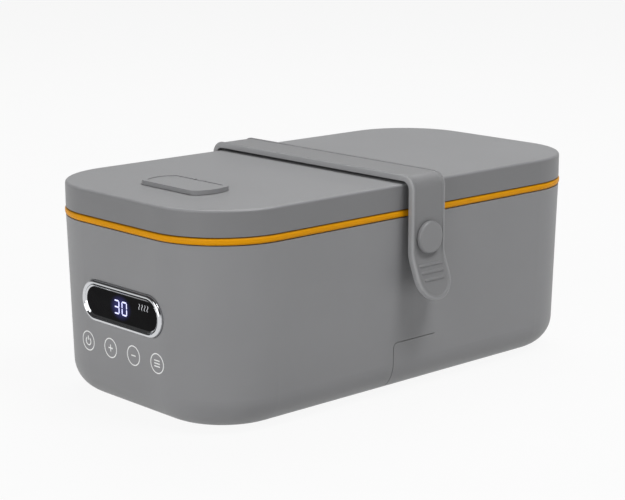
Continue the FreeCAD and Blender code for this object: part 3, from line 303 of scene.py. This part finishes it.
def lit(name, colour, strength, uneven=0.06):
    """A lit sign whose light is a little uneven."""
    finish = Finish(name, Roughness=0.4)
    finish.shader.inputs["Base Color"].default_value = (*colour, 1)
    finish.shader.inputs["Emission Color"].default_value = (*colour, 1)
    light = finish.spread(finish.noise(900, 1), strength * (1 - uneven), strength * (1 + uneven))
    finish.link(light, finish.shader.inputs["Emission Strength"])
    return finish.material


digit_light = lit("digit_light", (0.62, 0.63, 0.95), 0.85)
sign_light = lit("sign_light", (0.50, 0.51, 0.54), 0.30)
print_white = moulded("white_print", (0.93, 0.93, 0.93), (0.45, 0.60), 6000, 0.000005, 0.02)

DRESS = {
    shell: ("outer_housing", "inlet_flap", "vent_cap"),
    lid_grey: ("lid_shell",),
    knob_plastic: ("front_knob", "rear_knob"),
    strap_rubber: ("strap_band", "strap_front_tail", "strap_rear_end"),
    amber: ("lid_gasket",),
    pale_rubber: ("pan_seal", "vent_seal"),
    liner_plastic: ("inner_liner", "lid_inner"),
    cover_plastic: ("bottom_cover",),
    foot_rubber: ("rubber_feet",),
    screw_steel: ("cover_screws", "knob_screws", "vent_pin", "thermostat", "thermal_fuse"),
    steel: ("large_bowl", "small_bowl", "heating_pan"),
    aluminium: ("heater_plate",),
    board_green: ("power_board", "display_board"),
    black_plastic: ("inlet_recess", "inlet_socket", "power_components", "digit_display"),
    brass: ("inlet_pins", "touch_pads"),
    chrome: ("display_bezel",),
    window_black: ("display_window",),
    wire_cover: ("mains_leads", "heater_leads", "display_lead"),
}
for finish, names in DRESS.items():
    for name in names:
        nodes[name].data.materials.clear()
        nodes[name].data.materials.append(finish)


# Meshes

SHARP = 35


def piece(name, points, faces, finish, slot, body=None):
    """An object in metres from points in millimetres, with its faces turned outward."""
    mesh = bpy.data.meshes.new(name)
    mesh.from_pydata([[c * MM for c in p] for p in points], [], faces)
    work = bmesh.new()
    work.from_mesh(mesh)
    bmesh.ops.recalc_face_normals(work, faces=work.faces)
    work.to_mesh(mesh)
    work.free()
    return show(name, mesh, finish, body)


def show(name, mesh, finish, body=None):
    """Puts a mesh in the scene with its material, smooth up to its sharp edges."""
    mesh.shade_smooth()
    mesh.set_sharp_from_angle(angle=math.radians(SHARP))
    mesh.materials.clear()
    mesh.materials.append(finish)
    thing = bpy.data.objects.new(name, mesh)
    bpy.context.scene.collection.objects.link(thing)
    if body:
        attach(thing, body)
    return thing


# The strap: one band of silicone with raised rims, as two halves that meet on the middle of the lid

STRAP_HALF = band_high.x
STRAP_THICK = band_high.y + tail_high.y
STRAP_EDGE, STRAP_BACK_EDGE = 0.9, 0.5
STRAP_RIM, STRAP_SINK, RIM_SLOPE = 1.4, 0.4, 0.35
BEND_Z = band_low.z
BEND_OUTER = band_high.z - BEND_Z
BEND_Y = band_high.y - BEND_OUTER
BEND_R = BEND_OUTER - STRAP_THICK / 2
KNOB_Z = middle("front_knob").z
HOLE_R, DRILL_SPAN = 4.5, (1, 14)
FLARE_DROP, FLARE_SINK, FLARE_OUTER = 5.4, 4.4, 12.0
FLARE_Z = KNOB_Z - FLARE_DROP
FLARE_R = FLARE_OUTER + STRAP_THICK / 2
FLARE_TURN = math.asin(FLARE_SINK / FLARE_OUTER)
ROUND_Z = tail_low.z + STRAP_HALF
RIB_R, RIB_SINK, RIB_DROP, RIB_PITCH = 0.95, 0.35, 6.85, 3.05
RIB_LENGTHS, RIB_END_ANGLES = (15.4, 14.3, 13.2), (8, 30, 50, 70, 90)
# How wide and how strong the strap's painted highlight is, on its top and down its ends.
TOP_HIGHLIGHT, HIGHLIGHT_GAIN = 0.5, 1.25
LID_STEPS, BEND_STEPS, TAIL_STEPS, END_STEPS = 15, 18, 40, 48
EDGE_STEPS, RIM_STEPS, PANEL_STEPS, SPINE = 6, 5, 9, 1
ROD_SIDES, HOLE_SIDES = 20, 48


def down_strap(z):
    """Place and outward direction on the strap's mid surface at a height below its bend."""
    face = BEND_Y + BEND_R
    sink = max(0.0, FLARE_Z - z)
    turn = math.asin(min(sink / FLARE_R, math.sin(FLARE_TURN)))
    past = sink - FLARE_R * math.sin(turn)
    y = face + FLARE_R * (1 - math.cos(turn)) + past * math.tan(turn)
    return (y, z), (math.cos(turn), math.sin(turn))


def strap_stations():
    """Places and outward directions along one half, from the lid's middle to where its end is rounded."""
    for step in range(LID_STEPS):
        yield (BEND_Y * step / LID_STEPS, BEND_Z + BEND_R), (0, 1)
    for step in range(BEND_STEPS):
        angle = math.radians(90 - step * 90 / BEND_STEPS)
        out = (math.cos(angle), math.sin(angle))
        yield (BEND_Y + BEND_R * out[0], BEND_Z + BEND_R * out[1]), out
    for step in range(TAIL_STEPS + 1):
        yield down_strap(BEND_Z + (ROUND_Z - BEND_Z) * step / TAIL_STEPS)


def rounded(inside, edge):
    """Half the thickness at a distance inside the outline."""
    rise = min(inside, edge)
    return STRAP_THICK / 2 - edge + math.sqrt(edge ** 2 - (edge - rise) ** 2)


def panel_sink(inside):
    """How deep the panel between the rims lies at a distance inside the outline."""
    share = min(1.0, max(0.0, (inside - STRAP_RIM) / RIM_SLOPE))
    return STRAP_SINK * share * share * (3 - 2 * share)


def strap_loop(inside, side, stations):
    """Outer and inner points of a line at one distance inside the outline, down, round and up again."""
    reach = STRAP_HALF - inside
    spots = [(-reach, *station) for station in stations]
    for step in range(1, END_STEPS):
        angle = math.pi * step / END_STEPS
        spots.append((-reach * math.cos(angle), *down_strap(ROUND_Z - reach * math.sin(angle))))
    spots += [(reach, *station) for station in reversed(stations)]
    outer = rounded(inside, STRAP_EDGE) - panel_sink(inside)
    inner = -rounded(inside, STRAP_BACK_EDGE)
    return [
        [(x, side * (y + out[0] * lift), z + out[1] * lift) for x, (y, z), out in spots]
        for lift in (outer, inner)
    ]


def strap_blank(name, side):
    """One half of the strap, without its ribs and buttonhole, from loops further and further inside."""
    stations = list(strap_stations())
    turns = [math.radians(90 * k / EDGE_STEPS) for k in range(EDGE_STEPS + 1)]
    rounding = [STRAP_EDGE * (1 - math.cos(turn)) for turn in turns]
    rim = [STRAP_RIM + RIM_SLOPE * k / RIM_STEPS for k in range(RIM_STEPS + 1)]
    width = STRAP_HALF - SPINE - rim[-1]
    panel = [rim[-1] + width * k / PANEL_STEPS for k in range(1, PANEL_STEPS + 1)]
    loops = [strap_loop(inside, side, stations) for inside in rounding + rim + panel]
    count = len(loops[0][0])
    points = [point for loop in loops for layer in loop for point in layer]

    def at(loop, layer, k):
        return (2 * loop + layer) * count + k

    faces = []
    last = len(loops) - 1
    rows = len(stations)
    for k in range(count - 1):
        for loop in range(last):
            for layer in (0, 1):
                near, far = at(loop, layer, k), at(loop + 1, layer, k)
                faces.append((near, near + 1, far + 1, far))
        faces.append((at(0, 0, k), at(0, 0, k + 1), at(0, 1, k + 1), at(0, 1, k)))
    for layer in (0, 1):
        for k in range(rows - 1):
            left, right = at(last, layer, k), at(last, layer, count - 1 - k)
            faces.append((left, left + 1, right - 1, right))
        faces.append([at(last, layer, k) for k in range(rows - 1, count - rows + 1)])
    start = [at(loop, 0, 0) for loop in range(last + 1)]
    start += [at(loop, 0, count - 1) for loop in range(last, -1, -1)]
    start += [at(loop, 1, count - 1) for loop in range(last + 1)]
    start += [at(loop, 1, 0) for loop in range(last, -1, -1)]
    faces.append(start)
    return piece(f"{name}_blank", points, faces, strap_rubber, "strap_grey")


def ring(x, y, z, radius, count, axis):
    """Points round an axis, for rods along X and drills along Y."""
    turns = [2 * math.pi * k / count for k in range(count)]
    if axis == "x":
        return [(x, y + radius * math.cos(a), z + radius * math.sin(a)) for a in turns]
    return [(x + radius * math.cos(a), y, z + radius * math.sin(a)) for a in turns]


def tube(rings):
    """Faces of closed tubes through rings of points, each tube a list of rings."""
    points = []
    faces = []
    for rod in rings:
        base, count = len(points), len(rod[0])
        points += [point for circle in rod for point in circle]
        for k in range(len(rod) - 1):
            for j in range(count):
                a, b = base + k * count + j, base + k * count + (j + 1) % count
                faces.append((a, b, b + count, a + count))
        faces.append([base + j for j in range(count)])
        faces.append([base + (len(rod) - 1) * count + j for j in range(count)])
    return points, faces


def grip_ribs(name, side):
    """Three low ribs with round ends across the strap's end."""
    face = STRAP_THICK / 2 - STRAP_SINK
    lift = face - RIB_SINK
    first = FLARE_Z - RIB_DROP - face * math.sin(FLARE_TURN)
    ends = [math.radians(a) for a in RIB_END_ANGLES]
    rods = []
    for index, length in enumerate(RIB_LENGTHS):
        (y, z), out = down_strap(first - index * RIB_PITCH)
        y, z = side * (y + out[0] * lift), z + out[1] * lift
        half = length / 2 - RIB_R
        profile = [(-half - RIB_R * math.cos(a), RIB_R * math.sin(a)) for a in ends]
        profile += [(-x, r) for x, r in reversed(profile)]
        rods.append([ring(x, y, z, r, ROD_SIDES, "x") for x, r in profile])
    return piece(f"{name}_ribs", *tube(rods), strap_rubber, "strap_grey")


def mark_rim_highlight(mesh):
    """Marks the strap's painted highlight at each point: on its sides and, down its ends, on its rims
    too.
    """
    rim_highlight = mesh.attributes.new("rim_highlight", "FLOAT", "POINT")
    for point, mark in zip(mesh.vertices, rim_highlight.data):
        x, _, z = point.co / MM
        inside = STRAP_HALF - math.hypot(x, min(0.0, z - ROUND_Z))
        down = min(1.0, max(0.0, (BEND_Z + BEND_OUTER - z) / BEND_OUTER))
        width = TOP_HIGHLIGHT + (STRAP_RIM + RIM_SLOPE - TOP_HIGHLIGHT) * down
        mark.value = min(1.0, max(0.0, HIGHLIGHT_GAIN * (1 - inside / width)))


def strap_half(name, side):
    """One half of the strap, with its ribs added, its buttonhole cut and its painted highlight marked."""
    blank = strap_blank(name, side)
    ribs = grip_ribs(name, side)
    reach = [ring(0, side * (BEND_Y + y), KNOB_Z, HOLE_R, HOLE_SIDES, "y") for y in DRILL_SPAN]
    drill = piece(f"{name}_drill", *tube([reach]), strap_rubber, "strap_grey")
    for operation, tool in (("UNION", ribs), ("DIFFERENCE", drill)):
        step = blank.modifiers.new(tool.name, "BOOLEAN")
        step.operation = operation
        step.solver = "EXACT"
        step.object = tool
    bpy.context.view_layer.update()
    mesh = bpy.data.meshes.new_from_object(blank.evaluated_get(bpy.context.evaluated_depsgraph_get()))
    mesh.name = name
    mark_rim_highlight(mesh)
    for thing in (blank, ribs, drill):
        bpy.data.objects.remove(thing)
    return show(name, mesh, strap_rubber)


front_strap = strap_half("strap_front_half", -1)
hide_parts("strap_front_tail", "strap_band")
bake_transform(front_strap)
rear_strap = strap_half("strap_rear_half", 1)
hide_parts("strap_rear_end")
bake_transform(rear_strap)


# Thin signs on the -X end: lit ones on the window, printed ones on the wall

FILM, FILM_THICK = 0.03, 0.06


def plates(name, outlines, front, finish, slot):
    """Thin plates with the given outlines across the -X end; front gives X for a point's Y and Z."""
    points = []
    faces = []
    for outline in outlines:
        base = len(points)
        count = len(outline)
        points += [(front(y, z) - FILM, y, z) for y, z in outline]
        points += [(front(y, z) - FILM + FILM_THICK, y, z) for y, z in outline]
        faces.append([base + k for k in range(count)])
        faces.append([base + count + k for k in range(count)])
        faces += [
            (base + k, base + (k + 1) % count, base + count + (k + 1) % count, base + count + k)
            for k in range(count)
        ]
    return piece(name, points, faces, finish, slot, "base")


def bars(name, strokes, front, finish, slot, closed=False):
    """Thin strokes across the -X end, each a list of pairs of (y, z): one pair across it at each step."""
    points = []
    faces = []
    for stroke in strokes:
        base = len(points)
        for near, far in stroke:
            for y, z in (near, far):
                points.append((front(y, z) - FILM, y, z))
                points.append((front(y, z) - FILM + FILM_THICK, y, z))
        count = len(stroke)
        steps = range(count if closed else count - 1)
        for k in steps:
            a, b = base + 4 * k, base + 4 * ((k + 1) % count)
            faces += [
                (a, a + 2, b + 2, b),
                (a + 1, b + 1, b + 3, a + 3),
                (a, b, b + 1, a + 1),
                (a + 2, a + 3, b + 3, b + 2),
            ]
        if not closed:
            last = base + 4 * (count - 1)
            faces += [(base, base + 1, base + 3, base + 2), (last, last + 2, last + 3, last + 1)]
    return piece(name, points, faces, finish, slot, "base")


def window_front(y, z):
    """The window is flat, so that X is the same at every Y and Z."""
    return window_low.x


# A sloping polished lip round the window

LIP_WIDE, LIP_TALL, LIP_GAP, LIP_SOLE = 0.75, 0.5, 0.05, 0.02


def pill(inset, steps=20):
    """Points round the window's outline, moved in by an inset."""
    radius = (window_high.z - window_low.z) / 2
    points = []
    for side, y in ((1, window_high.y - radius), (-1, window_low.y + radius)):
        for k in range(steps + 1):
            angle = side * math.pi / 2 - math.pi * k / steps
            reach = radius - inset
            points.append((y + reach * math.cos(angle), display.z + reach * math.sin(angle)))
    return points


def window_lip():
    """A ring round the window, its profile given as insets and X."""
    front = window_low.x
    profile = [
        (LIP_GAP, front - LIP_TALL),
        (2 * LIP_GAP, front - LIP_TALL - LIP_GAP),
        (LIP_WIDE, front - LIP_GAP),
        (LIP_WIDE, front + LIP_SOLE),
        (LIP_GAP, front + LIP_SOLE),
    ]
    loops = [[(x, y, z) for y, z in pill(inset)] for inset, x in profile]
    count = len(loops[0])
    faces = []
    for a in range(len(loops)):
        b = (a + 1) % len(loops)
        for k in range(count):
            step = (k + 1) % count
            faces.append((a * count + k, a * count + step, b * count + step, b * count + k))
    return piece("window_lip", [p for loop in loops for p in loop], faces, chrome, "bezel_chrome", "base")


window_lip()


# Lit digits, and a heat sign where the display names its mode

DIGIT_WIDE, DIGIT_TALL, DIGIT_PITCH, STROKE, GAP = 3.8, 6.3, 5.4, 0.62, 0.08
SEGMENTS = {
    "a": (0, 1, 0), "g": (0, 0, 0), "d": (0, -1, 0),
    "f": (-1, 0.5, 1), "b": (1, 0.5, 1), "e": (-1, -0.5, 1), "c": (1, -0.5, 1),
}
DIGITS = {"0": "abcdef", "3": "abcdg"}


def segment(key, centre):
    """A bar with pointed ends. The reader's right is -Y."""
    across, up, upright = SEGMENTS[key]
    wide, tall = DIGIT_WIDE - STROKE, DIGIT_TALL - STROKE
    half = (tall / 2 if upright else wide) / 2 - GAP
    tip = STROKE / 2
    shape = [(-half, 0), (-half + tip, tip), (half - tip, tip)]
    shape += [(half, 0), (half - tip, -tip), (-half + tip, -tip)]
    y0 = centre - across * wide / 2
    z0 = DIGIT_Z + up * tall / 2
    if upright:
        return [(y0 + b, z0 + a) for a, b in shape]
    return [(y0 + a, z0 + b) for a, b in shape]


plates(
    "lit_digits",
    [
        segment(key, DIGIT_Y + turn * DIGIT_PITCH / 2)
        for digit, turn in (("3", 1), ("0", -1))
        for key in DIGITS[digit]
    ],
    window_front,
    digit_light,
    "window_black",
)

WAVE_SHIFT_Y, WAVE_SHIFT_Z = -15.65, 3.1
WAVE_Y, WAVE_Z = display.y + WAVE_SHIFT_Y, display.z + WAVE_SHIFT_Z
WAVE_TALL, WAVE_PITCH, WAVE_SWAY, WAVE_STROKE, WAVE_STEPS = 2.7, 1.9, 0.35, 0.38, 14


def wave(centre):
    """One heat wave: an upright stroke that sways once each way."""
    pairs = []
    for k in range(WAVE_STEPS + 1):
        share = k / WAVE_STEPS
        y = centre + WAVE_SWAY * math.sin(2 * math.pi * share)
        z = WAVE_Z + WAVE_TALL * (share - 0.5)
        pairs.append(((y + WAVE_STROKE / 2, z), (y - WAVE_STROKE / 2, z)))
    return pairs


bars(
    "heat_sign",
    [wave(WAVE_Y + WAVE_PITCH * k) for k in (-1.5, -0.5, 0.5, 1.5)],
    window_front,
    sign_light,
    "window_black",
)


# Printed touch keys

KEY_Z = middle("touch_pads").z
KEY_PITCH, KEY_SHIFT, RING_R, RING_STROKE, RING_STEPS = 16.5, 0.5, 4.55, 0.5, 72
SIGN_STROKE = 0.55
POWER_R, POWER_DROP, POWER_ANGLES, POWER_STEPS = 1.75, 0.15, (125, 415), 40
POWER_LINE = (0.4, 2.35)
PLUS_REACH, MINUS_REACH, MENU_REACH, MENU_PITCH = 1.6, 1.5, 1.9, 1.3
DRAFT, CORNER = 2, 37


def wall_x(y, z):
    """The drafted -X end of the housing, with its corner curves."""
    inset = DRAFT * (housing_high.z - z) / (housing_high.z - housing_low.z)
    radius = CORNER - inset
    over = max(0.0, abs(y) - (housing_high.y - CORNER))
    return housing_low.x + CORNER - math.sqrt(radius ** 2 - over ** 2)


def arc(y, z, radius, stroke, first, last, count):
    """A stroke round a centre, between two angles in degrees."""
    angles = [math.radians(first + (last - first) * k / count) for k in range(count + 1)]
    edges = radius - stroke / 2, radius + stroke / 2
    return [tuple((y + r * math.cos(a), z + r * math.sin(a)) for r in edges) for a in angles]


def line(y0, z0, y1, z1, stroke, count=6):
    """A straight stroke, in steps that let it follow the wall."""
    run = math.hypot(y1 - y0, z1 - z0)
    ny, nz = -(z1 - z0) / run * stroke / 2, (y1 - y0) / run * stroke / 2
    steps = [k / count for k in range(count + 1)]
    spots = [(y0 + (y1 - y0) * t, z0 + (z1 - z0) * t) for t in steps]
    return [((y + ny, z + nz), (y - ny, z - nz)) for y, z in spots]


key_y = [KEY_SHIFT + KEY_PITCH * k for k in (1.5, 0.5, -0.5, -1.5)]
ring_line = RING_R - RING_STROKE / 2
last_angle = 360 - 360 / RING_STEPS
rings = [arc(y, KEY_Z, ring_line, RING_STROKE, 0, last_angle, RING_STEPS - 1) for y in key_y]
bars("key_rings", rings, wall_x, print_white, "shell_grey", closed=True)
power_y, plus_y, minus_y, menu_y = key_y
signs = [
    arc(power_y, KEY_Z - POWER_DROP, POWER_R, SIGN_STROKE, *POWER_ANGLES, POWER_STEPS),
    line(power_y, KEY_Z + POWER_LINE[0], power_y, KEY_Z + POWER_LINE[1], SIGN_STROKE),
    line(plus_y - PLUS_REACH, KEY_Z, plus_y - SIGN_STROKE / 2, KEY_Z, SIGN_STROKE),
    line(plus_y + SIGN_STROKE / 2, KEY_Z, plus_y + PLUS_REACH, KEY_Z, SIGN_STROKE),
    line(plus_y, KEY_Z - PLUS_REACH, plus_y, KEY_Z + PLUS_REACH, SIGN_STROKE),
    line(minus_y - MINUS_REACH, KEY_Z, minus_y + MINUS_REACH, KEY_Z, SIGN_STROKE),
]
signs += [
    line(menu_y - MENU_REACH, KEY_Z + k, menu_y + MENU_REACH, KEY_Z + k, SIGN_STROKE)
    for k in (-MENU_PITCH, 0, MENU_PITCH)
]
bars("key_signs", signs, wall_x, print_white, "shell_grey")


# Floor, light and camera

WHITE_SHARE, FLOOR_REACH, FLOOR_LOW, FLOOR_HIGH = 0.92, 30, 0.54, 0.56


def pale_floor():
    """A pale floor, seen nearly white, with a little of its own shading left for the shadow."""
    mesh = bpy.data.meshes.new("floor")
    square = [(FLOOR_REACH * x, FLOOR_REACH * y, 0) for x, y in ((-1, -1), (1, -1), (1, 1), (-1, 1))]
    mesh.from_pydata(square, [], [(0, 1, 2, 3)])
    floor = bpy.data.objects.new("floor", mesh)
    bpy.context.scene.collection.objects.link(floor)
    finish = Finish("pale_floor", Roughness=0.9, Specular_IOR_Level=0.0)
    finish.colour(finish.noise(40), (FLOOR_LOW,) * 3, (FLOOR_HIGH,) * 3)
    white = finish.add("ShaderNodeEmission")
    paths = finish.add("ShaderNodeLightPath")
    seen = paths.outputs["Is Camera Ray"]
    for ray in ("Is Glossy Ray", "Is Transmission Ray"):
        either = finish.add("ShaderNodeMath", operation="MAXIMUM")
        finish.link(seen, either.inputs[0])
        finish.link(paths.outputs[ray], either.inputs[1])
        seen = either.outputs["Value"]
    share = finish.add("ShaderNodeMath", operation="MULTIPLY")
    share.inputs[1].default_value = WHITE_SHARE
    finish.link(seen, share.inputs[0])
    mix = finish.add("ShaderNodeMixShader")
    finish.link(share.outputs["Value"], mix.inputs["Fac"])
    finish.link(finish.shader.outputs["BSDF"], mix.inputs[1])
    finish.link(white.outputs["Emission"], mix.inputs[2])
    finish.link(mix.outputs["Shader"], finish.tree.nodes["Material Output"].inputs["Surface"])
    mesh.materials.append(finish.material)


SKY = ((0.0, 0.8), (0.1, 0.8), (0.3, 0.06), (1.0, 0.06))


def sky():
    """A plain studio sky, its brightness given at heights from the horizon to straight above."""
    world = bpy.data.worlds.new("studio")
    bpy.context.scene.world = world
    world.use_nodes = True
    tree = world.node_tree
    place = tree.nodes.new("ShaderNodeTexCoord")
    parts = tree.nodes.new("ShaderNodeSeparateXYZ")
    tree.links.new(place.outputs["Generated"], parts.inputs["Vector"])
    ramp = tree.nodes.new("ShaderNodeValToRGB")
    steps = ramp.color_ramp.elements
    while len(steps) < len(SKY):
        steps.new(0.5)
    for step, (height, level) in zip(steps, SKY):
        step.position = height
        step.color = (level, level, level, 1)
    tree.links.new(parts.outputs["Z"], ramp.inputs["Fac"])
    tree.links.new(ramp.outputs["Color"], tree.nodes["Background"].inputs["Color"])


LIGHT_AIM = (0, 0, 0.05)


def softbox(name, place, size, power):
    """A square lamp, in metres and watts, that faces the object."""
    light = bpy.data.lights.new(name, "AREA")
    light.shape = "SQUARE"
    light.size = size
    light.energy = power
    lamp = bpy.data.objects.new(name, light)
    lamp.location = place
    lamp.rotation_mode = "QUATERNION"
    lamp.rotation_quaternion = (Vector(LIGHT_AIM) - Vector(place)).to_track_quat("-Z", "Y")
    bpy.context.scene.collection.objects.link(lamp)


def photo_camera():
    """The camera that was fitted to the photograph's outlines."""
    data = bpy.data.cameras.new("camera")
    data.sensor_width = 36
    data.lens = 99.893
    data.shift_x = -0.01716
    data.shift_y = 0.02086
    data.clip_start = 0.05
    data.clip_end = 100
    camera = bpy.data.objects.new("camera", data)
    camera.location = (-0.54784, -0.58797, 0.23544)
    aim = Vector((0, 0, 0.04907))
    camera.rotation_mode = "QUATERNION"
    camera.rotation_quaternion = (aim - camera.location).to_track_quat("-Z", "Y")
    bpy.context.scene.collection.objects.link(camera)
    bpy.context.scene.camera = camera


pale_floor()
sky()
softbox("front_light", (0.15, -0.65, 1.25), 0.5, 11.2)
softbox("back_light", (0.5, 0.5, 1.3), 1.0, 11.8)
softbox("end_light", (-1.5, -0.2, 0.55), 1.2, 12)
photo_camera()
bpy.context.scene.view_settings.view_transform = "Standard"
